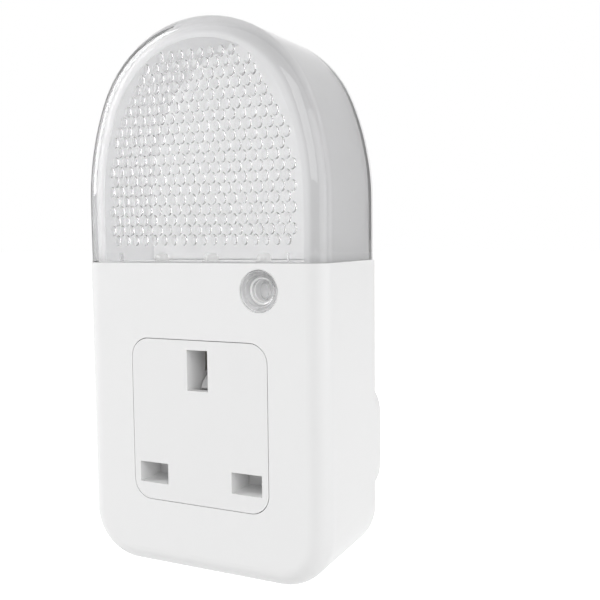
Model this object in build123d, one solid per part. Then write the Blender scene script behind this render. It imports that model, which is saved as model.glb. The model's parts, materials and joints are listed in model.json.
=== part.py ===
from build123d import *
from math import atan2, cos, degrees, hypot, pi, sin, tan
import os

# Plug-through night light for a three-pin 13 A wall socket, in millimetres.
# +Z is up, +X is to the right of someone facing the light, +Y runs into the wall.
# The origin is on the plug face, midway between the line and neutral pins.
# "Depth" is measured backwards from the front face of the case.

# ---- Standard plug and socket geometry ----
pin_pitch = 22.2  # line to neutral, and earth above that line
flat_pin_width = 6.35
flat_pin_height = 3.97
flat_pin_length = 17.7
earth_pin_width = 3.97
earth_pin_height = 7.92
earth_pin_length = 22.7
pin_tip_bevel = 1.0
sleeve_length = 9.1
sleeve_wall = 0.6
flat_aperture_width = 6.96
flat_aperture_height = 4.36
earth_aperture_width = 4.9
earth_aperture_height = 8.4

# ---- Case ----
case_width = 56.8
case_depth = 26.4
case_below_pins = 20.4  # bottom edge below the line of the two flat pins
split_height = 44.1  # where the white case ends and the lens begins
case_corner_radius = 11.0
front_edge_radius = 4.0
case_wall = 2.0
deck_thickness = 1.2
back_rim = 0.9  # edge of the back plate that shows from the side
back_plate_step = 1.6  # thicker middle of the back plate, inside the walls
seam_gap = 0.15  # between mouldings that drop into each other

# ---- Lens ----
lens_step = 0.35  # each flank stands this far inside the case
lens_height = 49.26  # from the split to the top of the arch
lens_straight = 12.5  # height of the upright flanks
lens_side_radius = 53.6
lens_wall = 2.0
lens_front_wall = 2.6
dome_pitch = 2.36
dome_half_width = 0.78
dome_half_length = 1.14  # each dome is longer upright than it is wide
dome_height = 0.5
dome_margin = 5.9  # dome centres to the outline of the lens
dome_base_margin = 4.6  # lowest row of domes above the split
lens_tab_side = 6.4  # middle of a tab to the side of the case
lens_tab_width = 4.4
lens_tab_thickness = 1.4
lens_tab_length = 3.2

# ---- Plug boss on the back ----
boss_depth = 9.0
boss_side_step = 1.8  # each side stands this far inside the case
boss_bottom = -11.5
boss_shoulder = 12.8
boss_top = 32.5
boss_top_half_width = 9.5
boss_side_corner = 9.0
boss_top_corner = 6.0
boss_edge_radius = 1.2
boss_wall = 2.2
plug_face_wall = 3.0

# ---- Socket insert and shutter ----
insert_width = 32.0
insert_height = 34.0
insert_centre = 11.35
insert_corner_radius = 4.0
insert_lip = 1.4  # flange behind the front wall
module_half_width = 16.6
module_bottom = -10.6
module_top = 29.6
module_wall = 1.3
tunnel_depth = 7.0
tunnel_wall = 1.2
shutter_thickness = 1.8
shutter_travel = 5.0
shutter_gap = 0.2  # running clearance on every side of the shutter
shutter_cover = 0.45  # overlap of the blades past each aperture
stem_half_width = 5.5
ramp_half_width = 2.1
ramp_rise = 5.0  # above the lower edge of the earth aperture
ramp_front = 6.6
ramp_back = 11.4
spring_radius = 1.9
spring_wire = 0.24
spring_turns = 5
spring_slot_top = 2.0
peg_radius = 1.2
peg_length = 1.8

# ---- Contacts, carrier and pins ----
carrier_back = 19.0
carrier_skin = 1.2
pocket_clearance = 0.4
contact_thickness = 0.6
contact_mouth = 11.9
contact_pinch = 1.75
contact_flare = 2.5
contact_root = 2.75
pinch_place = 0.7  # share of a blade between its root and its pinch
pin_hole_gap = 0.05
tail_width = 3.0
tail_height = 2.4
tail_end = 0.6  # peened end standing past the contact plate
shoulder_margin = 1.2
shoulder_thickness = 1.4
lead_radius = 0.8
lead_bend = 3.0
lead_gap = 0.9  # lead to the screw pillar beside it
lead_turn = 7.4  # height where a lead leaves its contact's column

# ---- Light sensor ----
sensor_side = 14.0  # centre to the side of the case
sensor_below_split = 5.45
window_radius = 4.15
window_recess_radius = 3.15
window_well_radius = 2.4
window_recess = 1.9
window_well = 2.9
window_floor = 0.6
window_flange = 0.9
photocell_radius = 2.1
photocell_nose = 0.8  # height of its domed front
photocell_length = 2.6
wire_radius = 0.25

# ---- Circuit ----
board_thickness = 1.6
board_below_deck = 0.6
board_front = 8.0
board_rear_gap = 1.9  # between the board and the back plate
rail_reach = 3.0
rail_height = 2.0
led_row_x = -3.0  # middle lamp, moved away from the sensor
led_pitch = 12.5
led_depth = 12.0
led_radius = 1.5
led_nose_radius = 1.1
led_flange_radius = 1.9
led_flange = 0.8
led_height = 3.6
lead_pitch = 2.54

# ---- Components under the board: places in depth, and sizes ----
component_gap = 0.6
dropper_depth = 13.9
dropper_size = (13.0, 11.0, 5.0)
smoothing_depth = 18.2
smoothing_radius = 2.6
smoothing_length = 11.0
diode_depth = 9.6
diode_pitch = 3.2
diode_length = 3.4
resistor_depth = 12.0
resistor_pitch = 3.0
resistor_length = 5.2
axial_radius = 1.2
axial_wire = 1.0
transistor_depth = 13.2
transistor_size = (4.6, 3.6, 4.6)

# ---- Fasteners ----
screw_radius = 1.25
screw_head_radius = 2.4
screw_head = 1.3
screw_pilot_radius = 1.27
screw_clear_radius = 1.5
screw_engagement = 8.0
pilot_spare = 1.0  # pilot hole beyond a screw's tip
pillar_radius = 3.0
upper_screw_side = 5.2  # centre to the side of the case
upper_screw_drop = 13.5  # centre below the split
lower_screw_x = 17.5
lower_screw_z = -15.0
insert_screw_x = 20.4
insert_screw_z = 9.5
insert_screw_grip = 3.4
ear_front = 7.4
ear_thickness = 1.4
carrier_screw_x = 9.0
carrier_screw_z = 12.2
driver_slot_width = 0.7
driver_slot_depth = 0.6

# ---- Places that follow from the sizes above ----
half_pitch = pin_pitch / 2
case_half = case_width / 2
plug_face = case_depth + boss_depth
rim_front = case_depth - back_rim
plate_front = rim_front - back_plate_step
deck_bottom = split_height - deck_thickness
boss_half_width = case_half - boss_side_step
lens_half_width = case_half - lens_step
lens_spring = split_height + lens_straight
side_offset = lens_side_radius - lens_half_width
crown_rise = lens_height - lens_straight
crown_square = lens_side_radius**2 - side_offset**2 - crown_rise**2
lens_crown_radius = crown_square / (2 * (lens_side_radius - crown_rise))
crown_z = split_height + lens_height - lens_crown_radius
flank_sweep = atan2(crown_z - lens_spring, side_offset)
lens_tab_x = case_half - lens_tab_side
sensor_x = case_half - sensor_side
sensor_z = split_height - sensor_below_split
upper_screw_x = case_half - upper_screw_side
upper_screw_z = split_height - upper_screw_drop
lead_run_x = upper_screw_x - pillar_radius - lead_gap - lead_radius
insert_back = case_wall + insert_lip
shutter_front = tunnel_depth + shutter_gap
shutter_back = shutter_front + shutter_thickness
carrier_front = shutter_back + shutter_gap
blade_top = flat_aperture_height / 2 + shutter_cover
blade_bottom = -flat_aperture_height / 2 - shutter_cover
shutter_half_width = module_half_width - module_wall - shutter_gap
earth_low = pin_pitch - earth_aperture_height / 2
stem_top = earth_low + shutter_cover
spring_seat = module_bottom + module_wall
spring_depth = (shutter_front + shutter_back) / 2
contact_plate_back = carrier_back + contact_thickness
board_top = deck_bottom - board_below_deck
board_bottom = board_top - board_thickness
board_half_width = case_half - case_wall - seam_gap
board_back = plate_front - board_rear_gap
rail_inner = case_half - case_wall - rail_reach
photocell_front = window_well + window_floor + seam_gap
insert_screw_tip = ear_front - insert_screw_grip
resistor_span = resistor_length + 2 * axial_wire
diode_span = diode_length + 2 * axial_wire
dropper_x = dropper_size[0] / 2 + component_gap - rail_inner
resistor_x = rail_inner - component_gap - resistor_span / 2
resistor_edge = resistor_x - resistor_span / 2 - component_gap
smoothing_x = resistor_edge - smoothing_length / 2
transistor_x = resistor_edge - transistor_size[0] / 2
diode_x = transistor_x - transistor_size[0] / 2 - component_gap - diode_span / 2
flat_pin_places = {"line": half_pitch, "neutral": -half_pitch}


# ---- Helpers ----
def slab(sketch, front, back):
    """Solid of a front-view sketch (X across, Z up) between two depths."""
    plane = Plane.XZ.offset(plug_face - back)
    return extrude(plane * sketch, amount=back - front)


def block(x, z, width, height, front, back):
    """Rectangular bar centred on (x, z), between two depths."""
    return slab(Pos(x, z) * Rectangle(width, height), front, back)


def post(x, z, radius, front, back):
    """Round bar along the depth."""
    return slab(Pos(x, z) * Circle(radius), front, back)


def upright(x, depth, radius, bottom, top):
    """Round bar along Z."""
    place = Pos(x, depth - plug_face, bottom)
    return place * extrude(Circle(radius), amount=top - bottom)


def mirrored(make):
    """The same form on the left and on the right."""
    return [make(side) for side in (-1, 1)]


def round_front(solid, depth, radius, base):
    """Round the front edge all the way round except along its base or top line."""
    front = [e for e in solid.edges() if abs(e.center().Y + plug_face - depth) < 0.001]
    rounded = [e for e in front if abs(e.center().Z - base) > 0.001]
    return fillet(rounded, radius)


def case_outline(inset=0.0, top=split_height):
    """Front view of the white case: square at the top, round bottom corners."""
    height = top + case_below_pins - inset
    outline = Pos(0, top - height / 2) * Rectangle(2 * (case_half - inset), height)
    return fillet(outline.vertices().sort_by(Axis.Y)[:2], case_corner_radius - inset)


def lens_outline(inset=0.0, base=split_height):
    """Front view of the lens: a three-centred arch on upright flanks."""
    half = lens_half_width - inset
    sweep = degrees(flank_sweep)
    flank_radius = lens_side_radius - inset
    edges = [
        Line((half, base), (half, lens_spring)),
        CenterArc((-side_offset, lens_spring), flank_radius, 0, sweep),
        CenterArc((0, crown_z), lens_crown_radius - inset, sweep, 180 - 2 * sweep),
        CenterArc((side_offset, lens_spring), flank_radius, 180 - sweep, sweep),
        Line((-half, lens_spring), (-half, base)),
        Line((-half, base), (half, base)),
    ]
    return make_face(edges)


def inside_lens(x, z):
    """How far a point of the front view lies inside the lens outline."""
    if z < lens_spring:
        return lens_half_width - abs(x)
    if z - crown_z > abs(x) * tan(flank_sweep):
        return lens_crown_radius - hypot(x, z - crown_z)
    return lens_side_radius - hypot(abs(x) + side_offset, z - lens_spring)


def boss_outline(inset=0.0):
    """Shield shape of the plug boss, seen from the back or the front."""
    points = [
        (-boss_half_width, boss_bottom),
        (boss_half_width, boss_bottom),
        (boss_half_width, boss_shoulder),
        (boss_top_half_width, boss_top),
        (-boss_top_half_width, boss_top),
        (-boss_half_width, boss_shoulder),
    ]
    shield = make_face(Polyline(*points, close=True))
    by_height = shield.vertices().sort_by(Axis.Y)
    shield = fillet(by_height[:4], boss_side_corner)
    top = shield.vertices().sort_by(Axis.Y)[-2:]
    shield = fillet(top, boss_top_corner)
    return offset(shield, amount=-inset) if inset else shield


def screw(x, z, tip, seat):
    """Slotted pan-head screw driven from behind, its head standing on the seat depth."""
    shank = post(x, z, screw_radius, tip, seat)
    head = post(x, z, screw_head_radius, seat, seat + screw_head)
    slot_front = seat + screw_head - driver_slot_depth
    slot = block(x, z, 2 * screw_head_radius, driver_slot_width, slot_front, seat + screw_head)
    return shank + head - slot


# ---- Case mouldings ----
def case_screw_places():
    """Centres of the four case screws in the front view."""
    upper = [(side * upper_screw_x, upper_screw_z) for side in (-1, 1)]
    lower = [(side * lower_screw_x, lower_screw_z) for side in (-1, 1)]
    return upper + lower


def front_shell():
    """White front cover: front wall, sides, bottom and the deck under the lens."""
    shell = slab(case_outline(), 0, rim_front)
    shell = round_front(shell, 0, front_edge_radius, split_height)
    cavity = slab(case_outline(case_wall, deck_bottom), case_wall, rim_front)
    cavity = round_front(cavity, case_wall, front_edge_radius - case_wall, deck_bottom)
    shell -= cavity
    shell += [post(x, z, pillar_radius, case_wall / 2, plate_front) for x, z in case_screw_places()]
    shell += mirrored(insert_post)
    shell += mirrored(board_rail)
    opening = RectangleRounded(
        insert_width + 2 * seam_gap, insert_height + 2 * seam_gap, insert_corner_radius + seam_gap
    )
    shell -= slab(Pos(0, insert_centre) * opening, 0, case_wall)
    shell -= post(sensor_x, sensor_z, window_radius + seam_gap / 2, 0, case_wall)
    pilot_front = plate_front - screw_engagement
    shell -= [post(x, z, screw_pilot_radius, pilot_front, plate_front) for x, z in case_screw_places()]
    shell -= mirrored(insert_pilot)
    shell -= [led_hole(x) for x in led_places()]
    shell -= mirrored(lens_tab_slot)
    return shell


def insert_post(side):
    """Post on the front wall that the socket insert is screwed to."""
    return post(side * insert_screw_x, insert_screw_z, screw_head_radius, case_wall / 2, ear_front)


def insert_pilot(side):
    """Screw hole in the post for the socket insert."""
    front = insert_screw_tip - pilot_spare
    return post(side * insert_screw_x, insert_screw_z, screw_pilot_radius, front, ear_front)


def led_hole(x):
    """Hole in the deck for the head of a lamp."""
    return upright(x, led_depth, led_flange_radius + seam_gap, deck_bottom, split_height)


def board_rail(side):
    """Rail on a side wall that carries the edge of the circuit board."""
    width = rail_reach + case_wall / 2
    x = side * (rail_inner + width / 2)
    back = rim_front - 2 * case_wall
    return block(x, board_bottom - rail_height / 2, width, rail_height, board_front, back)


def lens_tab_slot(side):
    """Slot in the deck for a locating tab of the lens."""
    depth = lens_front_wall + lens_tab_thickness / 2
    place = Pos(side * lens_tab_x, depth - plug_face, deck_bottom)
    slot = Rectangle(lens_tab_width + 2 * seam_gap, lens_tab_thickness + 2 * seam_gap)
    return place * extrude(slot, amount=deck_thickness)


def lens_tab(side):
    """Locating tab that reaches down from the lens through the deck."""
    depth = lens_front_wall + lens_tab_thickness / 2
    place = Pos(side * lens_tab_x, depth - plug_face, split_height - lens_tab_length)
    root = lens_tab_length + lens_wall
    return place * extrude(Rectangle(lens_tab_width, lens_tab_thickness), amount=root)


def lens_domes():
    """Moulded domes on the inner face of the lens, on a staggered grid."""
    turns = [pi / 2 + corner * pi / 3 for corner in range(6)]
    base = Polygon(*[(dome_half_width * cos(t), dome_half_length * sin(t)) for t in turns], align=None)
    dome = loft([Plane.XZ * base, Vertex(0, dome_height, 0)])
    row_pitch = dome_pitch * sin(pi / 3)
    rows = int(lens_height / row_pitch)
    columns = int(case_width / dome_pitch)
    domes = []
    for row in range(rows):
        z = split_height + dome_base_margin + row * row_pitch
        shift = dome_pitch / 2 * ((row + 1) % 2)
        for column in range(-columns, columns + 1):
            x = column * dome_pitch + shift
            if inside_lens(x, z) > dome_margin:
                domes.append(Pos(x, lens_front_wall - plug_face, z) * dome)
    return domes


def lens_cover():
    """Clear arched cover, open underneath and behind, with domes inside its front."""
    lens = slab(lens_outline(base=split_height), 0, rim_front)
    lens = round_front(lens, 0, front_edge_radius, split_height)
    cavity = slab(lens_outline(lens_wall), lens_front_wall, rim_front)
    inner_radius = front_edge_radius - lens_wall
    lens -= round_front(cavity, lens_front_wall, inner_radius, split_height)
    lens += mirrored(lens_tab)
    return lens + lens_domes()


def rear_shell():
    """White back plate behind case and lens, with the hollow plug boss."""
    shell = slab(case_outline() + lens_outline(), rim_front, case_depth)
    inner = case_outline(case_wall + seam_gap, deck_bottom - seam_gap)
    shell += slab(inner, plate_front, rim_front)
    lens_floor = split_height + seam_gap
    shell += slab(lens_outline(lens_wall + seam_gap, lens_floor), plate_front, rim_front)
    boss = slab(boss_outline(), case_depth - back_rim / 2, plug_face)
    plug_edges = boss.faces().sort_by(Axis.Y)[-1].edges()
    shell += fillet(plug_edges, boss_edge_radius)
    shell -= slab(boss_outline(boss_wall), plate_front, plug_face - plug_face_wall)
    for x in flat_pin_places.values():
        shell -= pin_hole(x, 0, flat_pin_width, flat_pin_height)
    shell -= pin_hole(0, pin_pitch, earth_pin_width, earth_pin_height)
    for x, z in case_screw_places():
        shell -= post(x, z, screw_clear_radius, plate_front, case_depth)
        shell -= post(x, z, screw_head_radius + seam_gap, case_depth - screw_head, case_depth)
    return shell


def pin_hole(x, z, width, height):
    """Passage for a pin through the plug face."""
    gap = 2 * pin_hole_gap
    return block(x, z, width + gap, height + gap, plug_face - plug_face_wall, plug_face)


# ---- Socket insert, shutter and carrier ----
def module_outline(inset=0.0):
    """Front view of the socket module behind the front wall."""
    height = module_top - module_bottom - 2 * inset
    centre = (module_top + module_bottom) / 2
    return Pos(0, centre) * Rectangle(2 * (module_half_width - inset), height)


def aperture(x, extra=0.0):
    """Outline of one socket aperture: earth on the centre line, else line or neutral."""
    if x == 0:
        size = (earth_aperture_width + 2 * extra, earth_aperture_height + 2 * extra)
        return Pos(0, pin_pitch) * Rectangle(*size)
    return Pos(x, 0) * Rectangle(flat_aperture_width + 2 * extra, flat_aperture_height + 2 * extra)


def socket_insert():
    """Flush front of the socket, with tunnels, skirt, screw posts and shutter stops."""
    nose = Pos(0, insert_centre) * RectangleRounded(insert_width, insert_height, insert_corner_radius)
    insert = slab(nose, 0, case_wall)
    insert += slab(module_outline(), case_wall, insert_back)
    insert += slab(module_outline() - module_outline(module_wall), insert_back, carrier_front)
    columns = (-half_pitch, 0, half_pitch)
    insert += [slab(aperture(x, tunnel_wall), insert_back, tunnel_depth) for x in columns]
    insert += mirrored(carrier_post)
    insert += mirrored(shutter_stop)
    insert += mirrored(insert_ear)
    insert += upright(0, spring_depth, peg_radius, spring_seat, spring_seat + peg_length)
    insert -= [slab(aperture(x), 0, tunnel_depth) for x in columns]
    insert -= ramp_notch()
    insert -= mirrored(
        lambda side: carrier_bore(side, insert_back, carrier_front, screw_pilot_radius)
    )
    insert -= mirrored(ear_hole)
    return insert


def carrier_post(side):
    """Post of the insert that the contact carrier is screwed to."""
    return post(side * carrier_screw_x, carrier_screw_z, screw_head_radius, case_wall, carrier_front)


def carrier_bore(side, front, back, radius):
    """Round form on the line of a carrier screw, between two depths."""
    return post(side * carrier_screw_x, carrier_screw_z, radius, front, back)


def shutter_stop(side):
    """Rib beside the earth tunnel that the raised shutter rests against."""
    low = stem_top + shutter_gap
    inner = earth_aperture_width / 2
    outer = stem_half_width
    centre = side * (inner + outer) / 2
    return block(centre, low + tunnel_wall, outer - inner, 2 * tunnel_wall, case_wall, shutter_back)


def insert_ear(side):
    """Ear on the side of the insert, screwed to the front shell."""
    reach = insert_screw_x + screw_head_radius - module_half_width
    centre = side * (module_half_width + reach / 2)
    height = 2 * screw_head_radius
    return block(centre, insert_screw_z, reach, height, ear_front, ear_front + ear_thickness)


def ear_hole(side):
    """Clearance hole in an ear of the insert."""
    x = side * insert_screw_x
    return post(x, insert_screw_z, screw_clear_radius, ear_front, ear_front + ear_thickness)


def ramp_notch():
    """Opening under the earth tunnel, behind the front wall, for the nose of the ramp."""
    height = 2 * tunnel_wall
    return block(0, earth_low - tunnel_wall, earth_aperture_width, height, case_wall, tunnel_depth)


def shutter():
    """Sliding safety shutter: two blades, a stem and the ramp the earth pin pushes on."""
    blade_height = blade_top - blade_bottom
    middle = (blade_top + blade_bottom) / 2
    plate = Pos(0, middle) * Rectangle(2 * shutter_half_width, blade_height)
    stem_height = stem_top - blade_bottom
    plate += Pos(0, stem_top - stem_height / 2) * Rectangle(2 * stem_half_width, stem_height)
    slot_width = 2 * (spring_radius + spring_wire + shutter_gap)
    slot_height = spring_slot_top - blade_bottom
    plate -= Pos(0, spring_slot_top - slot_height / 2) * Rectangle(slot_width, slot_height)
    body = slab(plate, shutter_front, shutter_back) + shutter_ramp()
    peg_top = spring_slot_top + shutter_thickness / 2
    return body + upright(0, spring_depth, peg_radius / 1.5, spring_slot_top - peg_length, peg_top)


def shutter_ramp():
    """Concave ramp in the earth aperture, drawn in depth and height."""
    foot = earth_low - shutter_cover
    front = ramp_front - plug_face
    back = ramp_back - plug_face
    top = earth_low + ramp_rise
    sag = ramp_rise / 8
    middle = ((front + back) / 2 + sag, (foot + top) / 2 - sag)
    edges = [
        ThreePointArc((front, foot), middle, (back, top)),
        Line((back, top), (back, foot - shutter_thickness)),
        Line((back, foot - shutter_thickness), (front + shutter_thickness, foot - shutter_thickness)),
        Line((front + shutter_thickness, foot - shutter_thickness), (front, foot)),
    ]
    side = Plane.YZ * make_face(edges)
    return extrude(side, amount=ramp_half_width, both=True)


def shutter_spring():
    """Return spring between the floor of the insert and the shutter."""
    height = spring_slot_top - spring_seat - 2 * spring_wire
    path = Helix(height / spring_turns, height, spring_radius)
    section = Plane(path @ 0, z_dir=path % 0) * RegularPolygon(spring_wire, 4)
    coil = sweep(section, path=path, is_frenet=True)
    return Pos(0, spring_depth - plug_face, spring_seat + spring_wire) * coil


def contact_pocket(x, grow=0.0):
    """Outline of the pocket round one contact."""
    depth_wise = 2 * (contact_root + contact_thickness + pocket_clearance + grow)
    if x == 0:
        return Pos(0, pin_pitch) * Rectangle(depth_wise, earth_aperture_height + 2 * grow)
    return Pos(x, 0) * Rectangle(flat_aperture_width + 2 * grow, depth_wise)


def contact_carrier():
    """Moulding behind the shutter that keeps the three contacts apart."""
    carrier = slab(module_outline(), carrier_front, carrier_front + carrier_skin)
    rim = module_outline() - module_outline(module_wall)
    carrier += slab(rim, carrier_front, carrier_back)
    columns = (-half_pitch, 0, half_pitch)
    carrier += [slab(contact_pocket(x, carrier_skin), carrier_front, carrier_back) for x in columns]
    carrier += mirrored(lambda side: carrier_bore(side, carrier_front, carrier_back, screw_head_radius))
    pocket_front = carrier_front + carrier_skin
    carrier -= [slab(contact_pocket(x), pocket_front, carrier_back) for x in columns]
    carrier -= [slab(aperture(x), carrier_front, pocket_front) for x in columns]
    carrier -= ramp_way()
    carrier -= spring_way()
    return carrier - mirrored(
        lambda side: carrier_bore(side, carrier_front, carrier_back, screw_clear_radius)
    )


def ramp_way():
    """Slot in the carrier that the back of the ramp runs down."""
    low = earth_low - shutter_cover - shutter_thickness - shutter_travel - 2 * shutter_gap
    height = earth_low - low
    width = 2 * (ramp_half_width + shutter_gap)
    back = ramp_back + shutter_gap
    return block(0, low + height / 2, width, height + 2 * shutter_cover, carrier_front, back)


def spring_way():
    """Slot in the carrier that the coil stands in."""
    height = spring_slot_top - spring_seat
    width = 2 * (spring_radius + spring_wire + shutter_gap)
    middle = spring_seat + height / 2
    return block(0, middle, width, height, carrier_front, carrier_front + carrier_skin)


# ---- Contacts and pins ----
def contact(plate_width, plate_height):
    """Spring contact on its back plate, lying on the depth axis, blades above and below."""
    root = carrier_back - plug_face
    pinch = root - (carrier_back - contact_mouth) * pinch_place
    mouth = contact_mouth - plug_face
    blade_line = Polyline((root, contact_root), (pinch, contact_pinch), (mouth, contact_flare))
    blade_face = trace(blade_line, contact_thickness)
    blade = extrude(Plane.YZ * blade_face, amount=plate_width / 2 - pocket_clearance, both=True)
    front = contact_mouth - contact_thickness
    blade &= block(0, 0, plate_width, 4 * contact_root, front, carrier_back)
    plate = block(0, 0, plate_width, plate_height, carrier_back, contact_plate_back)
    hole = block(0, 0, tail_width, tail_height, carrier_back, contact_plate_back)
    return plate + blade + mirror(blade, about=Plane.XY) - hole


def flat_contact(x):
    """Line or neutral contact, with a tag for its lead."""
    width = flat_aperture_width
    body = contact(width, 2 * contact_root + 2 * contact_thickness)
    tag_top = lead_turn
    tag_height = tag_top - contact_root
    tag_centre = (tag_top + contact_root) / 2
    tag = block(0, tag_centre, 2 * lead_radius, tag_height, carrier_back, contact_plate_back)
    return Pos(x, 0, 0) * (body + tag)


def earth_contact():
    """Earth contact: the same form turned upright round the depth axis."""
    body = contact(earth_aperture_height, 2 * contact_root + 2 * contact_thickness)
    return Pos(0, 0, pin_pitch) * Rot(0, 90, 0) * body


def pin(x, z, width, height, length, across, up):
    """Solid brass pin with a bevelled tip, a shoulder inside the plug face and a tail."""
    tip = plug_face + length
    inner = plug_face - plug_face_wall
    blade = block(x, z, width, height, inner, tip)
    blade = chamfer(blade.faces().sort_by(Axis.Y)[-1].edges(), pin_tip_bevel)
    margin = 2 * shoulder_margin
    blade += block(x, z, width + margin, height + margin, inner - shoulder_thickness, inner)
    return blade + block(x, z, across, up, carrier_back - tail_end, inner)


def flat_pin(x):
    """Line or neutral pin, necked where the sleeve is moulded on."""
    body = pin(x, 0, flat_pin_width, flat_pin_height, flat_pin_length, tail_width, tail_height)
    return body - sleeve(x)


def sleeve(x):
    """Insulating sleeve round the root of a flat pin."""
    outer = Rectangle(flat_pin_width, flat_pin_height)
    core = Rectangle(flat_pin_width - 2 * sleeve_wall, flat_pin_height - 2 * sleeve_wall)
    return slab(Pos(x, 0) * (outer - core), plug_face, plug_face + sleeve_length)


def earth_pin():
    """Solid earth pin, longer than the other two so that it opens the shutter first."""
    return pin(
        0, pin_pitch, earth_pin_width, earth_pin_height, earth_pin_length, tail_height, tail_width
    )


def supply_lead(x):
    """Insulated lead from the tag of a flat contact up to the circuit board."""
    run = lead_run_x if x > 0 else -lead_run_x
    bottom = flat_aperture_height
    points = [(x, bottom), (x, lead_turn), (run, lead_turn + half_pitch), (run, board_bottom)]
    path = FilletPolyline(*points, radius=lead_bend)
    depth = contact_plate_back + lead_radius
    path = Plane.XZ.offset(plug_face - depth) * path
    section = Plane(path @ 0, z_dir=path % 0) * Circle(lead_radius)
    return sweep(section, path=path)


# ---- Light sensor ----
def sensor_window():
    """Clear thimble in the front wall: rim, recess, well and a flange behind the wall."""
    back = window_well + window_floor
    window = post(sensor_x, sensor_z, window_radius, 0, back)
    flange_radius = window_radius + window_flange
    flange = post(sensor_x, sensor_z, flange_radius, case_wall, case_wall + window_flange)
    window += flange & window_bay()
    window -= post(sensor_x, sensor_z, window_recess_radius, 0, window_recess)
    window -= post(sensor_x, sensor_z, window_well_radius, 0, window_well)
    return window


def window_bay():
    """Room for the flange between the deck and the lip of the socket insert."""
    low = module_top + seam_gap
    high = deck_bottom - seam_gap / 2
    width = 4 * window_radius
    return block(sensor_x, (low + high) / 2, width, high - low, 0, case_wall + window_flange)


def photocell():
    """Round photocell with a domed front, which looks out through the window."""
    ball_radius = (photocell_radius**2 + photocell_nose**2) / (2 * photocell_nose)
    back = photocell_front + photocell_length
    ball = Pos(sensor_x, photocell_front + ball_radius - plug_face, sensor_z) * Sphere(ball_radius)
    return post(sensor_x, sensor_z, photocell_radius, photocell_front, back) & ball


def photocell_leads():
    """Two wires from the back of the photocell, bent up to the board."""
    start = photocell_front + photocell_length
    turn = board_front + lead_pitch / 2
    leads = []
    for side in (-1, 1):
        x = sensor_x + side * lead_pitch / 2
        points = [
            (start - plug_face, sensor_z),
            (turn - plug_face, sensor_z),
            (turn - plug_face, board_bottom),
        ]
        path = Plane.YZ.offset(x) * FilletPolyline(*points, radius=2 * wire_radius)
        section = Plane(path @ 0, z_dir=path % 0) * wire_section()
        leads.append(sweep(section, path=path))
    return leads


# ---- Circuit ----
def wire_section(grow=0.0):
    """Section of a component's wire, with six flats, or of the hole it passes through."""
    return RegularPolygon(wire_radius + grow, 6)


def led_places():
    """Positions of the three lamps across the deck."""
    return (led_row_x - led_pitch, led_row_x, led_row_x + led_pitch)


def circuit_board():
    """Board under the deck, with a hole for each leg of a lamp."""
    depth = board_back - board_front
    place = Pos(0, board_front + depth / 2 - plug_face, board_bottom)
    board = place * extrude(Rectangle(2 * board_half_width, depth), amount=board_thickness)
    return board - led_legs(wire_section(seam_gap))


def led_legs(section):
    """The legs of every lamp, from its flange down through the board."""
    places = [x + side * lead_pitch / 2 for x in led_places() for side in (-1, 1)]
    leg = extrude(section, amount=board_thickness)
    return [Pos(x, led_depth - plug_face, board_bottom) * leg for x in places]


def led(x):
    """Round-nosed white lamp standing on the board, its head above the deck."""
    top = board_top + led_height
    lamp = upright(x, led_depth, led_radius, board_top, top)
    lamp = fillet(lamp.faces().sort_by(Axis.Z)[-1].edges(), led_nose_radius)
    return lamp + upright(x, led_depth, led_flange_radius, board_top, board_top + led_flange)


def hanging_box(x, depth, size):
    """Box-shaped component under the board: width across, length in depth, height."""
    width, length, height = size
    place = Pos(x, depth - plug_face, board_bottom - height)
    box = place * extrude(Rectangle(width, length), amount=height)
    return fillet(box.edges().filter_by(Axis.Z), wire_radius * 2)


def axial_part(x, depth, radius, length):
    """Round component lying across the underside of the board, with its two wires."""
    centre = board_bottom - radius
    bar = Pos(x, depth - plug_face, centre) * Rot(0, 90, 0)
    body = bar * Cylinder(radius, length)
    wire = bar * extrude(wire_section(), amount=length / 2 + axial_wire, both=True)
    reach = length / 2 + axial_wire - wire_radius
    end = extrude(wire_section(), amount=axial_radius)
    ends = [Pos(x + side * reach, depth - plug_face, centre) * end for side in (-1, 1)]
    return body + wire + ends


def dropper_capacitor():
    """Film capacitor that drops the mains voltage."""
    return hanging_box(dropper_x, dropper_depth, dropper_size)


def smoothing_capacitor():
    """Electrolytic capacitor lying under the board."""
    place = Pos(smoothing_x, smoothing_depth - plug_face, board_bottom - smoothing_radius)
    can = place * Rot(0, 90, 0) * Cylinder(smoothing_radius, smoothing_length)
    return chamfer(can.faces().sort_by(Axis.X)[0].edges(), wire_radius * 2)


def rectifier_diodes():
    """Four diodes of the bridge."""
    columns = (diode_x, diode_x - diode_span - component_gap)
    places = [(x, diode_depth + row * diode_pitch) for x in columns for row in range(2)]
    return [axial_part(x, depth, axial_radius, diode_length) for x, depth in places]


def resistors():
    """Fusible and bleed resistors."""
    rows = [resistor_depth + row * resistor_pitch for row in range(3)]
    return [axial_part(resistor_x, depth, axial_radius, resistor_length) for depth in rows]


def switching_transistor():
    """Small transistor that turns the lamps off in daylight."""
    return hanging_box(transistor_x, transistor_depth, transistor_size)


# ---- Fasteners ----
def case_screws():
    """Four screws from the back plate into the pillars of the front shell."""
    seat = case_depth - screw_head
    tip = plate_front - screw_engagement + pilot_spare
    return [screw(x, z, tip, seat) for x, z in case_screw_places()]


def insert_screws():
    """Two screws that hold the socket insert to the front shell."""
    seat = ear_front + ear_thickness
    tip = insert_screw_tip
    return mirrored(lambda side: screw(side * insert_screw_x, insert_screw_z, tip, seat))


def carrier_screws():
    """Two screws that hold the contact carrier to the insert."""
    tip = insert_back + pilot_spare
    return mirrored(lambda side: screw(side * carrier_screw_x, carrier_screw_z, tip, carrier_back))


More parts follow.
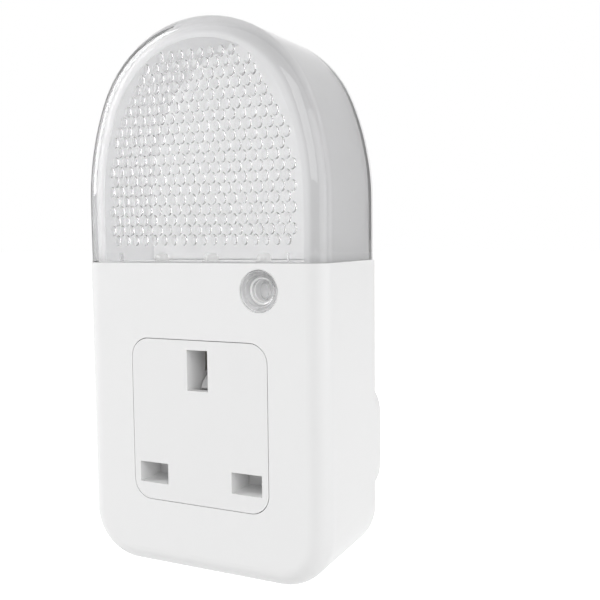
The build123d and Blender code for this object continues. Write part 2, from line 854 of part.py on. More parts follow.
# ---- Write one file per piece ----
def write(name, shape):
    """Export a piece, or a group of separate solids, under its node name."""
    pieces = shape if isinstance(shape, list) else [shape]
    solids = [solid for piece in pieces for solid in piece.solids()]
    whole = solids[0] if len(solids) == 1 else Compound(children=solids)
    export_step(whole, f"parts/{name}.step")


def main():
    """Build every piece of the night light."""
    os.makedirs("parts", exist_ok=True)
    write("front_shell", front_shell())
    write("rear_shell", rear_shell())
    write("lens_cover", lens_cover())
    write("socket_insert", socket_insert())
    write("contact_carrier", contact_carrier())
    write("shutter", shutter())
    write("shutter_spring", shutter_spring())
    write("earth_contact", earth_contact())
    write("earth_pin", earth_pin())
    for name, x in flat_pin_places.items():
        write(f"{name}_contact", flat_contact(x))
        write(f"{name}_pin", flat_pin(x))
        write(f"{name}_pin_sleeve", sleeve(x))
        write(f"{name}_lead", supply_lead(x))
    write("sensor_window", sensor_window())
    write("photocell", photocell())
    write("photocell_leads", photocell_leads())
    write("circuit_board", circuit_board())
    for number, x in enumerate(led_places(), start=1):
        write(f"led_{number}", led(x))
    write("led_legs", led_legs(wire_section()))
    write("dropper_capacitor", dropper_capacitor())
    write("smoothing_capacitor", smoothing_capacitor())
    write("rectifier_diodes", rectifier_diodes())
    write("resistors", resistors())
    write("switching_transistor", switching_transistor())
    write("case_screws", case_screws())
    write("insert_screws", insert_screws())
    write("carrier_screws", carrier_screws())


main()
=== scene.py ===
import json
from itertools import product
from math import atan2, cos, hypot, pi, radians, sin, sqrt, tan

import bmesh
import bpy
from mathutils import Matrix, Vector
from mathutils.geometry import delaunay_2d_cdt


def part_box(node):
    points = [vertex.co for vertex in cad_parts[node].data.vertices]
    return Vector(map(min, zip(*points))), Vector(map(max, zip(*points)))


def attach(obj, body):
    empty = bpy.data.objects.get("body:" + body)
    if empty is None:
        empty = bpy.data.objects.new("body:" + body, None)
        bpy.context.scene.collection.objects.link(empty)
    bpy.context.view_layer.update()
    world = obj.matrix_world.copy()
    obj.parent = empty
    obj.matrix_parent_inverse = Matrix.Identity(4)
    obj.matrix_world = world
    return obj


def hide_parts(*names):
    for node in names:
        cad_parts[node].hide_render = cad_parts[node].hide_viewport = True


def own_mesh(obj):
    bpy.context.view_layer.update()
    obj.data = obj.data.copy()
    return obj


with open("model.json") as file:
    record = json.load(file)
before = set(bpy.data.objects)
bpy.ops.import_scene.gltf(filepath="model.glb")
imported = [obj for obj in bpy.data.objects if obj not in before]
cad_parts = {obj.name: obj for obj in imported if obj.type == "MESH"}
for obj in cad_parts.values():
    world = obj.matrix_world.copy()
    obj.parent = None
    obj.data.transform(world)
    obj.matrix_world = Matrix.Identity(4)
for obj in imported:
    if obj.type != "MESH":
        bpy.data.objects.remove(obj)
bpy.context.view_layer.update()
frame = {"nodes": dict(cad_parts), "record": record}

# Plug-through night light, in metres. X runs across, Y into the wall, Z up.
# The origin is on the plug face, midway between the line and neutral pins.
MM = 0.001

# ---- Places read from the frame ----
case_low, case_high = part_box("front_shell")
lens_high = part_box("lens_cover")[1]
cell_low, cell_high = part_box("photocell")
coil_low, coil_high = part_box("shutter_spring")
front_y = case_low.y  # flush front of case, insert and lens
rim_y = lens_high.y  # back edge of the clear cover
split_z = case_high.z  # top of the white case
cell_middle = (cell_low + cell_high) / 2
coil_middle = (coil_low + coil_high) / 2

# ---- Clear cover: walls and outline ----
half_width = lens_high.x
straight_height = 12.5 * MM  # straight part of the sides
flank_radius = 53.6 * MM  # curved part of the sides
wall = 2.0 * MM
front_wall = 2.6 * MM
outer_round = 4.0 * MM  # from the sides onto the front
inner_round = outer_round - wall
straight_steps = 3
flank_steps = 10
crown_steps = 12
outer_round_steps = 8
inner_round_steps = 5

flank_z = split_z + straight_height  # where the curved part of the sides begins
side_offset = flank_radius - half_width
crown_rise = lens_high.z - flank_z
# The crown's arc meets those of the sides without a corner.
crown_square = flank_radius**2 - side_offset**2 - crown_rise**2
crown_radius = crown_square / (2 * (flank_radius - crown_rise))
crown_z = lens_high.z - crown_radius
flank_sweep = atan2(crown_z - flank_z, side_offset)

# ---- Clear cover: domes inside its front ----
dome_pitch = 2.36 * MM
dome_half_width = 0.78 * MM
dome_half_length = 1.14 * MM  # each dome is longer upright than it is wide
dome_height = 0.5 * MM
dome_margin = 5.9 * MM  # from the outline to the nearest dome's middle
dome_base = 4.6 * MM  # from the case to the middle of the first row
dome_rings = ((0.42, 8), (0.76, 12), (1.0, 16))  # share of the way out, and corners
field_inset = 4.7 * MM  # clear field round the domes
foot_gap = 0.3 * MM
same_point = 1e-9  # points nearer than this are one
inside_only = 1  # the triangulation keeps only what lies inside the outline

# ---- Clear cover: painted highlight and shade bands on its eroded walls ----
painted_fade_reach = 2.0 * MM  # how far a painted band of an edge fades into the wall
painted_row_levels = (1.0, 0.0, 0.0, 1.0, 0.5, 0.0, 0.0, 0.0, 1.0)  # painted light of each inner row, from the rim to the front: 1 pale, 0 darker as painted shade, a 1 between 0s a painted highlight line

# ---- Clear cover: tabs that hold it in the case ----
tab_x = 22.0 * MM
tab_size = Vector((4.4, 1.4, 5.2)) * MM
tab_top = 2.0 * MM
tab_gap = 0.02 * MM

OUTSIDE, INSIDE, DOMED, RIM = range(4)  # finishes of the cover

# ---- Sensor window ----
GLOSS, PAINTED_GLINT_LIP, PAINTED_SHADE_STEP, BACK = range(4)  # finishes of the window: gloss, lips painted near white as a glint, step walls and the small lens's outline painted grey as shade, eroded back
# Radius and depth in mm, and the finish up to the next pair, from the middle of the front.
window_profile = (
    (0, 2.2, GLOSS), (0.5, 2.24, GLOSS), (1.0, 2.36, GLOSS), (1.4, 2.54, PAINTED_SHADE_STEP),
    (1.66, 2.72, PAINTED_SHADE_STEP), (1.8, 2.9, GLOSS), (2.12, 2.9, PAINTED_GLINT_LIP), (2.3, 2.84, PAINTED_GLINT_LIP),
    (2.38, 2.7, PAINTED_SHADE_STEP), (2.38, 1.7, PAINTED_GLINT_LIP), (2.44, 1.5, PAINTED_GLINT_LIP), (2.58, 1.42, PAINTED_GLINT_LIP),
    (2.72, 1.5, PAINTED_GLINT_LIP), (2.78, 1.7, GLOSS), (2.95, 1.9, PAINTED_SHADE_STEP), (3.09, 1.85, PAINTED_SHADE_STEP),
    (3.14, 1.7, PAINTED_SHADE_STEP), (3.14, 0.22, GLOSS), (3.2, 0.07, GLOSS), (3.34, 0, GLOSS),
    (3.92, 0, PAINTED_SHADE_STEP), (4.08, 0.06, PAINTED_SHADE_STEP), (4.14, 0.2, BACK), (4.14, 3.5, BACK), (0, 3.5, BACK),
)
window_sides = 48
eye_radius = 1.9  # in mm, of the lens in the window's floor
eye_shape = (0.62, 1.05)  # that lens is taller than it is wide

# ---- Nose of the shutter ----
# Depth and height in mm of the concave ramp that the earth pin pushes down, from its toe.
nose_ramp = (
    (4.7, 17.8), (4.85, 18.3), (5.2, 18.9), (5.8, 19.5), (6.6, 20.1), (7.6, 20.6), (8.8, 21.1),
)
nose_foot = ((8.8, 17.4), (5.2, 17.3))
nose_half_width = 2.08 * MM

# ---- Return spring ----
spring_wire = 0.24 * MM  # radius of the wire
spring_turns = 5
spring_turn_steps = 24
spring_wire_sides = 8

# ---- Surfaces ----
bump_height = 0.01 * MM  # of a moulded texture, and each finish takes a share of it
noise_middle = 0.5
grain_scale = 9000.0
flow_scale = 140.0  # faint flow marks of a moulding
line_scale = 6000.0  # drawn lines, across
line_run_scale = 300.0  # drawn lines, along
handling_scale = 260.0  # dull patches on metal
metal_shade = 0.88
metal_shade_spread = 0.35
plastic_ior = 1.49
epoxy_ior = 1.5

# ---- Studio ----
camera_place = (0.09177, -0.17692, 0.04923)
camera_yaw, camera_pitch, camera_roll = radians(25.814), radians(4.374), radians(-0.606)
camera_lens = 50.04  # in mm, as is the width of the sensor
camera_sensor = 36
camera_near = 0.01
lamp_target = (0, front_y, 0.036)
lamps = (  # name, place, size across and up, and power in watts
    ("key_softbox", (0.9, -0.95, 0.7), (1.0, 1.0), 7.9),
    ("fill_softbox", (-1.05, -0.55, 0.55), (0.5, 0.9), 8.8),
    ("side_panel", (1.15, 0.02, 0.1), (1.0, 1.4), 5.5),
)
grey_side = (0.8, -0.55, 0.25)  # towards the grey part of the room that gloss shows
grey_reach = 0.6
grey_level = 0.08
lit_side = (-0.6, 0.8, 0.0)  # towards the brighter part of the room
lit_reach = 0.9
dim_level = 0.35
lit_level = 0.7
floor_colour = (0.8, 0.8, 0.8, 1)
floor_glow = 0.75
floor_reach = 6.0
floor_drop = 0.06  # from the bottom of the case
pure_white = (1, 1, 1, 1)


# ---- Mesh helpers ----
def mesh_piece(name, build, materials, body="housing"):
    """Make a mesh piece that rides on a body from a function that fills a bmesh."""
    mesh = bpy.data.meshes.new(name)
    form = bmesh.new()
    build(form)
    bmesh.ops.recalc_face_normals(form, faces=form.faces)
    form.to_mesh(mesh)
    form.free()
    piece = bpy.data.objects.new(name, mesh)
    bpy.context.scene.collection.objects.link(piece)
    for material in materials:
        mesh.materials.append(material)
    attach(piece, body)
    return piece


def smooth(piece, crease):
    """Shade a piece smooth, apart from edges that turn by more degrees than the crease."""
    piece.data.shade_smooth()
    piece.data.set_sharp_from_angle(angle=radians(crease))


def band(form, near, far, closed, material=0):
    """Quads between two rows of vertices, which close into rings or stay open."""
    count = len(near)
    for step in range(count if closed else count - 1):
        after = (step + 1) % count
        corners = (near[step], near[after], far[after], far[step])
        form.faces.new(corners).material_index = material


def fan(form, tip, ring, material):
    """Triangles from a tip to a ring of vertices."""
    for step in range(len(ring)):
        corners = (tip, ring[step], ring[(step + 1) % len(ring)])
        form.faces.new(corners).material_index = material


def box_form(form, low, high, material):
    """Closed box between two corners."""
    places = product((low.x, high.x), (low.y, high.y), (low.z, high.z))
    corners = [form.verts.new(place) for place in places]
    sides = ((0, 1, 3, 2), (4, 6, 7, 5), (0, 4, 5, 1), (2, 3, 7, 6), (0, 2, 6, 4), (1, 5, 7, 3))
    for side in sides:
        form.faces.new([corners[index] for index in side]).material_index = material


# ---- Clear cover: outline and skin ----
def arch(inset):
    """Points (x, z) of the cover's outline, from its right foot to its left foot."""
    half = half_width - inset
    right = []
    for step in range(straight_steps):
        right.append((half, split_z + straight_height * step / straight_steps))
    for step in range(flank_steps):
        turn = flank_sweep * step / flank_steps
        radius = flank_radius - inset
        right.append((radius * cos(turn) - side_offset, flank_z + radius * sin(turn)))
    for step in range(crown_steps + 1):
        turn = flank_sweep + (pi / 2 - flank_sweep) * step / crown_steps
        radius = crown_radius - inset
        right.append((radius * cos(turn), crown_z + radius * sin(turn)))
    return right + [(-x, z) for x, z in reversed(right[:-1])]


def rounded_profile(inset, depth, rounding, steps):
    """(inset, depth) pairs from the back edge forwards and round onto the front plane."""
    start = depth + rounding
    back = rim_y - front_y
    pairs = [(inset, place) for place in (back, back - painted_fade_reach, start + painted_fade_reach, start)]
    for step in range(1, steps + 1):
        turn = pi / 2 * step / steps
        pairs.append((inset + rounding * (1 - cos(turn)), depth + rounding * (1 - sin(turn))))
    return pairs


def skin(form, profile, material):
    """Sweep a profile round the arch. Returns the rows of vertices."""
    rows = []
    for inset, depth in profile:
        rows.append([form.verts.new((x, front_y + depth, z)) for x, z in arch(inset)])
    for back, front in zip(rows, rows[1:]):
        band(form, back, front, closed=False, material=material)
    return rows


def inside(x, z):
    """How far a point of the front lies inside the outline of the cover."""
    if z < flank_z:
        return half_width - abs(x)
    if z - crown_z > abs(x) * tan(flank_sweep):
        return crown_radius - hypot(x, z - crown_z)
    return flank_radius - hypot(abs(x) + side_offset, z - flank_z)


# ---- Clear cover: domes ----
def dome_centres():
    """Staggered grid of dome centres, kept clear of the outline and of the base."""
    row_pitch = dome_pitch * sin(pi / 3)
    columns = int(2 * half_width / dome_pitch)
    centres = []
    for row in range(int((lens_high.z - split_z) / row_pitch)):
        z = split_z + dome_base + row * row_pitch
        shift = dome_pitch / 2 * ((row + 1) % 2)
        places = [column * dome_pitch + shift for column in range(-columns, columns + 1)]
        centres += [(x, z) for x in places if inside(x, z) > dome_margin]
    return centres


def dome_rise(share):
    """Height of a dome at a share of the way from its middle to its rim."""
    ball = (dome_half_width**2 + dome_height**2) / (2 * dome_height)
    return sqrt(ball**2 - (share * dome_half_width) ** 2) - ball + dome_height


def dome_points():
    """Points ((x, z), height) of all the domes, each from its middle out to its rim."""
    found = []
    for x, z in dome_centres():
        found.append(((x, z), dome_height))
        for share, count in dome_rings:
            for step in range(count):
                angle = 2 * pi * (step + share) / count
                across = dome_half_width * share * cos(angle)
                along = dome_half_length * share * sin(angle)
                found.append(((x + across, z + along), dome_rise(share)))
    return found


def field_frame():
    """Outline (x, z) of the clear field round the domes, down to the foot of the cover."""
    rounded = [(x, z) for x, z in arch(field_inset) if z > split_z + MM]
    half = half_width - field_inset
    return [(half, split_z + foot_gap)] + rounded + [(-half, split_z + foot_gap)]


def loop_edges(start, count):
    """Edges of a closed loop of points that follow each other in a list."""
    return [(start + step, start + (step + 1) % count) for step in range(count)]


def domed_face(form, boundary, depth):
    """Flat inner front of the cover: plain margin, and a clear field with moulded domes."""
    outline = [(vert.co.x, vert.co.z) for vert in boundary]
    domes = dome_points()
    field = field_frame()
    places = outline + [place for place, _ in domes] + field
    heights = [0.0] * len(outline) + [height for _, height in domes] + [0.0] * len(field)
    edges = loop_edges(0, len(outline)) + loop_edges(len(outline) + len(domes), len(field))
    points = [Vector(place) for place in places]
    made, _, faces, sources, _, _ = delaunay_2d_cdt(points, edges, [], inside_only, same_point)
    verts = []
    for place, source in zip(made, sources):
        first = source[0]
        if first < len(outline):
            verts.append(boundary[first])
        else:
            lifted = (place.x, front_y + depth + heights[first], place.y)
            verts.append(form.verts.new(lifted))
    for face in faces:
        flat = form.faces.new([verts[index] for index in face])
        middle = flat.calc_center_median()
        clear = inside(middle.x, middle.z) > field_inset and middle.z > split_z + foot_gap
        flat.material_index = DOMED if clear else INSIDE


def tabs(form):
    """Two tabs at the foot of the cover that reach down into the case."""
    top = split_z + tab_top
    for side in (-1, 1):
        left = side * tab_x - tab_size.x / 2
        right = side * tab_x + tab_size.x / 2
        low = Vector((left, front_y + front_wall + tab_gap, top - tab_size.z))
        high = Vector((right, front_y + front_wall + tab_size.y, top))
        box_form(form, low, high, OUTSIDE)


def cover_form(form):
    """Arched clear cover: glossy outside, eroded inside with painted highlight and shade bands,
    domes on its inner front.
    """
    painted_band = form.verts.layers.float.new("painted_band")
    outer = skin(form, rounded_profile(0, 0, outer_round, outer_round_steps), OUTSIDE)
    inner_profile = rounded_profile(wall, front_wall, inner_round, inner_round_steps)
    inner = skin(form, inner_profile, INSIDE)
    form.faces.new(outer[-1]).material_index = OUTSIDE
    domed_face(form, inner[-1], front_wall)
    # Painted light: pale everywhere, then painted highlight and shade bands row by row along the
    # inner wall.
    for vert in form.verts:
        vert[painted_band] = 1.0
    for row, amount in zip(inner, painted_row_levels):
        for vert in row:
            vert[painted_band] = amount
    band(form, outer[0], inner[0], closed=False, material=RIM)
    for end in (0, -1):
        foot = [row[end] for row in outer] + [row[end] for row in reversed(inner)]
        form.faces.new(foot).material_index = OUTSIDE
    sill = (outer[-1][0], outer[-1][-1], inner[-1][-1], inner[-1][0])
    form.faces.new(sill).material_index = OUTSIDE
    tabs(form)


# ---- Smaller pieces ----
def window_form(form):
    """Clear stepped thimble with rounded lips and a small lens in its floor. Its lips carry a
    painted glint, and its step walls and the lens's outline carry painted shade.
    """
    rings = []
    for radius, depth, _ in window_profile:
        wide, tall = eye_shape if radius < eye_radius else (1, 1)
        ring = []
        for step in range(window_sides if radius else 1):
            turn = 2 * pi * step / window_sides
            x = cell_middle.x + radius * wide * MM * cos(turn)
            z = cell_middle.z + radius * tall * MM * sin(turn)
            ring.append(form.verts.new((x, front_y + depth * MM, z)))
        rings.append(ring)
    for near, far, (_, _, finish) in zip(rings, rings[1:], window_profile):
        if len(near) == 1:
            fan(form, near[0], far, finish)
        elif len(far) == 1:
            fan(form, far[0], near, finish)
        else:
            band(form, near, far, closed=True, material=finish)


def nose_form(form):
    """Concave ramp of the shutter, as wide as the earth pin's way."""
    ends = []
    for x in (-nose_half_width, nose_half_width):
        places = [(x, front_y + depth * MM, z * MM) for depth, z in nose_ramp + nose_foot]
        ends.append([form.verts.new(place) for place in places])
    for end in ends:
        form.faces.new(end)
    band(form, ends[0], ends[1], closed=True)


def spring_form(form):
    """Round-wire coil between the floor of the insert and the shutter."""
    radius = (coil_high.x - coil_low.x) / 2 - spring_wire
    rise = coil_high.z - coil_low.z - 2 * spring_wire
    steps = spring_turn_steps * spring_turns
    rings = []
    for step in range(steps + 1):
        turn = 2 * pi * spring_turns * step / steps
        out = Vector((cos(turn), sin(turn), 0))
        height = coil_low.z + spring_wire + rise * step / steps
        heart = Vector((coil_middle.x, coil_middle.y, height)) + radius * out
        ring = []
        for side in range(spring_wire_sides):
            angle = 2 * pi * side / spring_wire_sides
            away = cos(angle) * out + Vector((0, 0, sin(angle)))
            ring.append(form.verts.new(heart + spring_wire * away))
        rings.append(ring)
    for near, far in zip(rings, rings[1:]):
        band(form, near, far, closed=True)
    form.faces.new(rings[0])
    form.faces.new(rings[-1])


# ---- Shader helpers ----
def new_material(name):
    """Empty node material. Returns the material, its node tree and its output node."""
    material = bpy.data.materials.new(name)
    material.use_nodes = True
    tree = material.node_tree
    tree.nodes.clear()
    return material, tree, tree.nodes.new("ShaderNodeOutputMaterial")


def add(tree, kind, inputs=None, **settings):
    """Add a node with settings, and with inputs given as values or as sockets to link."""
    made = tree.nodes.new(kind)
    for name, value in settings.items():
        setattr(made, name, value)
    for name, value in (inputs or {}).items():
        if isinstance(value, bpy.types.NodeSocket):
            tree.links.new(value, made.inputs[name])
        else:
            made.inputs[name].default_value = value
    return made


# Places of the first, second and result sockets of a Mix node.
mix_sockets = {"RGBA": (6, 7, 2), "FLOAT": (2, 3, 0)}


def calc(tree, operation, *values):
    """Result of a Math node on values or sockets."""
    return add(tree, "ShaderNodeMath", dict(enumerate(values)), operation=operation).outputs[0]


def noise(tree, at, scale, detail):
    """Value of a noise texture at the given places."""
    inputs = {"Vector": at, "Scale": scale, "Detail": detail}
    return add(tree, "ShaderNodeTexNoise", inputs).outputs[0]


def blend(tree, kind, share, first, second):
    """Colour or number between two, each given as a value or as a socket."""
    first_at, second_at, result_at = mix_sockets[kind]
    inputs = {0: share, first_at: first, second_at: second}
    return add(tree, "ShaderNodeMix", inputs, data_type=kind).outputs[result_at]


def surface_group(name, inputs):
    """Node group for a surface. Returns its tree and the sockets of its inputs."""
    tree = bpy.data.node_groups.new(name, "ShaderNodeTree")
    kind = "NodeSocketFloat"
    for label, value in inputs.items():
        socket = tree.interface.new_socket(label, in_out="INPUT", socket_type=kind)
        socket.default_value = value
    for label in ("Height", "Roughness", "Shade"):
        tree.interface.new_socket(label, in_out="OUTPUT", socket_type=kind)
    return tree, tree.nodes.new("NodeGroupInput").outputs


def put_out(tree, height, rough, shade):
    """Link a surface group's results to its outputs."""
    result = tree.nodes.new("NodeGroupOutput")
    for label, socket in (("Height", height), ("Roughness", rough), ("Shade", shade)):
        tree.links.new(socket, result.inputs[label])


def moulded_surface():
    """Fine eroded texture of a moulding, with faint flow marks in its shade."""
    values = {"Grain": grain_scale, "Rough": 0.35, "Rough Spread": 0.1, "Shade Spread": 0.02}
    tree, given = surface_group("moulded_surface", values)
    at = add(tree, "ShaderNodeTexCoord").outputs["Object"]
    grain = noise(tree, at, given["Grain"], detail=3.0)
    marks = calc(tree, "SUBTRACT", noise(tree, at, flow_scale, detail=4.0), noise_middle)
    rough = calc(tree, "MULTIPLY_ADD", marks, given["Rough Spread"], given["Rough"])
    shade = calc(tree, "MULTIPLY_ADD", marks, given["Shade Spread"], 1.0)
    put_out(tree, grain, rough, shade)
    return tree


def drawn_surface():
    """Fine lines along one axis, as on drawn, stamped or turned metal."""
    values = {
        "Across X": line_scale,
        "Across Y": line_run_scale,
        "Across Z": line_scale,
        "Rough": 0.3,
        "Rough Spread": 0.2,
    }
    tree, given = surface_group("drawn_surface", values)
    at = add(tree, "ShaderNodeTexCoord").outputs["Object"]
    scales = {0: given["Across X"], 1: given["Across Y"], 2: given["Across Z"]}
    scale = add(tree, "ShaderNodeCombineXYZ", scales).outputs[0]
    stretched = add(tree, "ShaderNodeVectorMath", {0: at, 1: scale}, operation="MULTIPLY")
    lines = noise(tree, stretched.outputs[0], scale=1.0, detail=3.0)
    both = calc(tree, "MULTIPLY", lines, noise(tree, at, handling_scale, detail=4.0))
    rough = calc(tree, "MULTIPLY_ADD", both, given["Rough Spread"], given["Rough"])
    shade = calc(tree, "MULTIPLY_ADD", both, metal_shade_spread, metal_shade)
    put_out(tree, lines, rough, shade)
    return tree


moulded_group = moulded_surface()
drawn_group = drawn_surface()


def textured(tree, group, colour, finish, bump, plain):
    """Principled shader with a surface group's texture. Plain values are set on it directly."""
    surface = add(tree, "ShaderNodeGroup", node_tree=group)
    for label, value in finish.items():
        surface.inputs[label].default_value = value
    lift = {"Height": surface.outputs["Height"], "Distance": bump * bump_height, "Strength": 1.0}
    tint = {0: colour, "Scale": surface.outputs["Shade"]}
    changing = {
        "Base Color": add(tree, "ShaderNodeVectorMath", tint, operation="SCALE").outputs[0],
        "Roughness": surface.outputs["Roughness"],
        "Normal": add(tree, "ShaderNodeBump", lift).outputs[0],
    }
    return add(tree, "ShaderNodeBsdfPrincipled", {**changing, **plain}).outputs[0]


def let_light_through(tree, shader, output, passed):
    """End a clear material, so that a share of the lamplight reaches what is behind it."""
    path = add(tree, "ShaderNodeLightPath")
    through = add(tree, "ShaderNodeBsdfTransparent", {"Color": (passed, passed, passed, 1)})
    inputs = {0: path.outputs["Is Shadow Ray"], 1: shader, 2: through.outputs[0]}
    either = add(tree, "ShaderNodeMixShader", inputs)
    tree.links.new(either.outputs[0], output.inputs["Surface"])


# ---- Finishes ----
def opaque(name, group, colour, finish, bump, plain):
    """Opaque material with a surface group's texture."""
    material, tree, output = new_material(name)
    shader = textured(tree, group, colour, finish, bump, plain)
    tree.links.new(shader, output.inputs["Surface"])
    return material


def white_plastic(name, grey, finish, bump, coat=None):
    """White moulded plastic, with a glossy skin where a coat is given."""
    return opaque(name, moulded_group, (grey, grey, grey), finish, bump, coat or {})


def coloured_plastic(name, colour, rough):
    """Opaque coloured plastic, lacquer or solder mask."""
    finish = {"Rough": rough, "Rough Spread": 0.15, "Shade Spread": 0.12}
    return opaque(name, moulded_group, colour, finish, 1.0, {})


def drawn_metal(name, colour, rough, bump):
    """Drawn, stamped or plated metal."""
    return opaque(name, drawn_group, colour, {"Rough": rough}, bump, {"Metallic": 1.0})


def clear_plastic(name, colour, finish, bump, transmission, passed, ior=plastic_ior):
    """Clear moulded plastic. Passed is the share of the lamplight that goes through it."""
    material, tree, output = new_material(name)
    plain = {"Transmission Weight": transmission, "IOR": ior}
    shader = textured(tree, moulded_group, colour, finish, bump, plain)
    let_light_through(tree, shader, output, passed)
    return material


def eroded_with_painted_light(name, painted_shade_colour, painted_lit_colour, cavity_painted_light_colour, finish, bump, transmission, passed):
    """Eroded inside of clear plastic with painted light: darker through the wall as painted
    shade, paler on the painted bands, and paler still from the cavity as painted light shining
    through the wall.
    """
    material, tree, output = new_material(name)
    painted_band = add(tree, "ShaderNodeAttribute", attribute_name="painted_band").outputs["Fac"]
    # Seen from the cavity, the colour is painted paler as light shining through; seen through
    # the wall, it is painted shade.
    through_wall = add(tree, "ShaderNodeNewGeometry").outputs["Backfacing"]
    through = blend(tree, "RGBA", painted_band, (*painted_shade_colour, 1), (*painted_lit_colour, 1))
    seen = blend(tree, "RGBA", through_wall, (*cavity_painted_light_colour, 1), through)
    plain = {"Transmission Weight": transmission, "IOR": plastic_ior}
    shader = textured(tree, moulded_group, seen, finish, bump, plain)
    let_light_through(tree, shader, output, passed)
    return material


polished = {"Rough": 0.03, "Rough Spread": 0.03, "Shade Spread": 0.01}
frosted = {"Rough": 0.5, "Rough Spread": 0.1, "Shade Spread": 0.02}
case_satin = {"Rough": 0.38, "Rough Spread": 0.08, "Shade Spread": 0.015}
insert_satin = {"Rough": 0.34, "Rough Spread": 0.06, "Shade Spread": 0.01}
nose_satin = {"Rough": 0.3, "Rough Spread": 0.06, "Shade Spread": 0.01}
thin_coat = {"Coat Weight": 0.15, "Coat Roughness": 0.2}
crystal = (0.95, 0.95, 0.955)

white_case = white_plastic("white_case_satin", 0.84, case_satin, bump=0.6, coat=thin_coat)
white_insert = white_plastic("white_insert_satin", 0.83, insert_satin, bump=0.4)
white_nose = white_plastic("white_nose_satin", 0.96, nose_satin, bump=0.4)
cover_gloss = clear_plastic(
    "clear_cover_gloss", crystal, polished, bump=0.02, transmission=1.0, passed=0.84
)
# The cover's eroded inside carries painted light: painted shade through the wall, painted
# highlight bands, and a paler cavity side that stands in for light shining through.
cover_inside_painted_light = eroded_with_painted_light(
    "clear_cover_eroded_painted_light",
    painted_shade_colour=(0.545, 0.545, 0.55),
    painted_lit_colour=(0.66, 0.66, 0.665),
    cavity_painted_light_colour=(0.84, 0.84, 0.845),
    finish=frosted,
    bump=1.0,
    transmission=0.15,
    passed=0.6,
)
cover_domes = clear_plastic(
    "clear_cover_domes", (0.93, 0.93, 0.935), polished, bump=0.02, transmission=0.92, passed=0.6
)
cover_rim = clear_plastic(
    "clear_cover_rim", (0.96, 0.96, 0.96), frosted, bump=0.5, transmission=0.3, passed=0.85
)
window_gloss = clear_plastic(
    "clear_window_gloss", crystal, polished, bump=0.02, transmission=0.9, passed=0.95
)
# Lips painted near white and cloudy: a painted glint along their rounding.
window_lip_painted_glint = clear_plastic(
    "clear_window_painted_glint_lip", (1.0, 1.0, 1.0), polished, bump=0.02, transmission=0.15, passed=0.95
)
# Step walls painted grey: painted shade in the recess and round the small lens.
window_step_painted_shade = clear_plastic(
    "clear_window_painted_shade_step", (0.84, 0.84, 0.845), polished, bump=0.02, transmission=0.6, passed=0.95
)
window_back = clear_plastic(
    "clear_window_eroded_back", crystal, frosted, bump=0.5, transmission=0.2, passed=0.6
)
lamp_epoxy = clear_plastic(
    "water_clear_epoxy",
    (0.95, 0.95, 0.94),
    polished,
    bump=0.05,
    transmission=0.5,
    passed=0.9,
    ior=epoxy_ior,
)
spring_steel = drawn_metal("drawn_spring_wire", (0.6, 0.6, 0.6), 0.22, bump=0.3)

slot_finishes = {
    "white_case": white_case,
    "white_insert": white_insert,
    "clear_window": window_gloss,
    "clear_lens": cover_gloss,
    "led_epoxy": lamp_epoxy,
    "spring_steel": spring_steel,
    "pin_brass": drawn_metal("drawn_pin_brass", (0.68, 0.51, 0.26), 0.24, bump=0.3),
    "contact_brass": drawn_metal("stamped_brass", (0.76, 0.56, 0.28), 0.24, bump=0.5),
    "screw_steel": drawn_metal("zinc_plated_steel", (0.66, 0.66, 0.64), 0.22, bump=0.5),
    "tinned_wire": drawn_metal("tinned_copper", (0.74, 0.74, 0.72), 0.2, bump=0.3),
    "sleeve_black": coloured_plastic("black_sleeve", (0.025, 0.025, 0.027), 0.42),
    "carrier_ivory": coloured_plastic("ivory_thermoset", (0.72, 0.7, 0.62), 0.4),
    "board_green": coloured_plastic("green_solder_mask", (0.03, 0.17, 0.07), 0.3),
    "film_capacitor": coloured_plastic("film_capacitor_box", (0.66, 0.42, 0.08), 0.4),
    "electrolytic": coloured_plastic("capacitor_sleeve", (0.03, 0.04, 0.07), 0.25),
    "diode_black": coloured_plastic("black_epoxy_body", (0.025, 0.025, 0.027), 0.35),
    "resistor_body": coloured_plastic("lacquered_resistor", (0.6, 0.45, 0.28), 0.4),
    "transistor_black": coloured_plastic("black_transistor_body", (0.03, 0.03, 0.032), 0.5),
    "photocell_epoxy": coloured_plastic("photocell_epoxy", (0.78, 0.78, 0.76), 0.15),
    "lead_brown": coloured_plastic("brown_insulation", (0.2, 0.08, 0.03), 0.4),
    "lead_blue": coloured_plastic("blue_insulation", (0.03, 0.09, 0.4), 0.4),
}


def dress_nodes():
    """Give every CAD piece the finish of its slot."""
    for part in frame["record"]["subparts"]:
        node = frame["nodes"][part["node"]]
        for place in node.material_slots:
            place.material = slot_finishes[part["material_slot"]]


# ---- Pieces ----
dress_nodes()

cover_finishes = [cover_gloss, cover_inside_painted_light, cover_domes, cover_rim]
lens = mesh_piece("arched_cover", cover_form, cover_finishes)
smooth(lens, crease=25)
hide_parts("lens_cover")

window_finishes = [window_gloss, window_lip_painted_glint, window_step_painted_shade, window_back]
window = mesh_piece("sensor_thimble", window_form, window_finishes)
smooth(window, crease=40)
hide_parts("sensor_window")

nose = mesh_piece("shutter_nose", nose_form, [white_nose], "shutter")
smooth(nose, crease=30)

coil = mesh_piece("return_spring", spring_form, [spring_steel])
smooth(coil, crease=50)
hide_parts("shutter_spring")
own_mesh(coil)


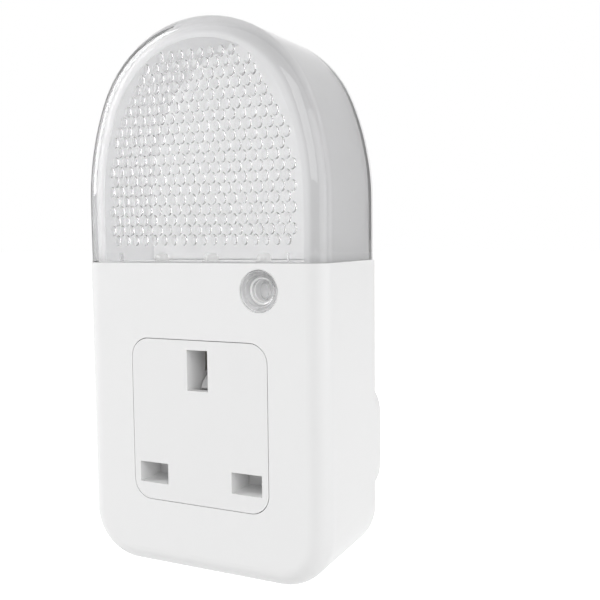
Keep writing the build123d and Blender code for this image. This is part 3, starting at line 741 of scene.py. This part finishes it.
# ---- Studio ----
def camera():
    """Camera a little above and to the right of the light, close in front of it."""
    yaw, pitch, roll = camera_yaw, camera_pitch, camera_roll
    ahead = Vector((-sin(yaw) * cos(pitch), cos(yaw) * cos(pitch), -sin(pitch)))
    level = Vector((cos(yaw), sin(yaw), 0))
    above = level.cross(ahead)
    right = cos(roll) * level + sin(roll) * above
    up = cos(roll) * above - sin(roll) * level
    data = bpy.data.cameras.new("camera")
    data.lens = camera_lens
    data.sensor_width = camera_sensor
    data.clip_start = camera_near
    item = bpy.data.objects.new("camera", data)
    bpy.context.scene.collection.objects.link(item)
    turned = Matrix((right, up, -ahead)).transposed().to_4x4()
    item.matrix_world = Matrix.Translation(camera_place) @ turned
    bpy.context.scene.camera = item


def lamp(name, place, size, power):
    """Rectangular soft light that faces the front of the night light."""
    data = bpy.data.lights.new(name, "AREA")
    data.shape = "RECTANGLE"
    data.size, data.size_y = size
    data.energy = power
    item = bpy.data.objects.new(name, data)
    bpy.context.scene.collection.objects.link(item)
    item.location = place
    ahead = Vector(lamp_target) - Vector(place)
    item.rotation_euler = ahead.to_track_quat("-Z", "Y").to_euler()


def seen_white(tree):
    """1 where the camera, a reflection or a view through clear plastic looks."""
    path = add(tree, "ShaderNodeLightPath").outputs
    near = calc(tree, "MAXIMUM", path["Is Camera Ray"], path["Is Glossy Ray"])
    return calc(tree, "MAXIMUM", near, path["Is Transmission Ray"])


def room_level(tree, side, reach, start, end, **settings):
    """Level that changes from start to end as directions turn towards a side of the room."""
    way = add(tree, "ShaderNodeTexCoord").outputs["Generated"]
    toward = add(tree, "ShaderNodeVectorMath", {0: way, 1: side}, operation="DOT_PRODUCT")
    values = {"From Min": 0.0, "From Max": reach, "To Min": start, "To Max": end}
    inputs = {"Value": toward.outputs["Value"], **values}
    return add(tree, "ShaderNodeMapRange", inputs, **settings).outputs["Result"]


def white_room():
    """White background, a grey side for gloss to show, and a lower level to light by."""
    world = bpy.data.worlds.new("white_room")
    bpy.context.scene.world = world
    world.use_nodes = True
    tree = world.node_tree
    tree.nodes.clear()
    shown = room_level(
        tree, grey_side, grey_reach, 1.0, grey_level, interpolation_type="SMOOTHSTEP"
    )
    glow = room_level(tree, lit_side, lit_reach, dim_level, lit_level)
    level = blend(tree, "FLOAT", seen_white(tree), glow, shown)
    from_camera = add(tree, "ShaderNodeLightPath").outputs["Is Camera Ray"]
    strength = blend(tree, "FLOAT", from_camera, level, 1.0)
    sky = add(tree, "ShaderNodeBackground", {"Color": pure_white, "Strength": strength})
    output = tree.nodes.new("ShaderNodeOutputWorld")
    tree.links.new(sky.outputs[0], output.inputs["Surface"])


def pale_floor():
    """Plain pale floor some way under the light, which plugs into a wall."""
    material, tree, output = new_material("pale_floor")
    paint = add(tree, "ShaderNodeBsdfDiffuse", {"Color": floor_colour})
    share = calc(tree, "MULTIPLY", seen_white(tree), floor_glow)
    glow = add(tree, "ShaderNodeEmission", {"Color": pure_white, "Strength": share})
    both = add(tree, "ShaderNodeAddShader", {0: paint.outputs[0], 1: glow.outputs[0]})
    tree.links.new(both.outputs[0], output.inputs["Surface"])
    mesh = bpy.data.meshes.new("floor")
    level = case_low.z - floor_drop
    square = ((-1, -1), (1, -1), (1, 1), (-1, 1))
    corners = [(x * floor_reach, y * floor_reach, level) for x, y in square]
    mesh.from_pydata(corners, [], [(0, 1, 2, 3)])
    mesh.materials.append(material)
    floor = bpy.data.objects.new("floor", mesh)
    bpy.context.scene.collection.objects.link(floor)


bpy.context.scene.view_settings.view_transform = "Standard"
camera()
white_room()
pale_floor()
for name, place, size, power in lamps:
    lamp(name, place, size, power)
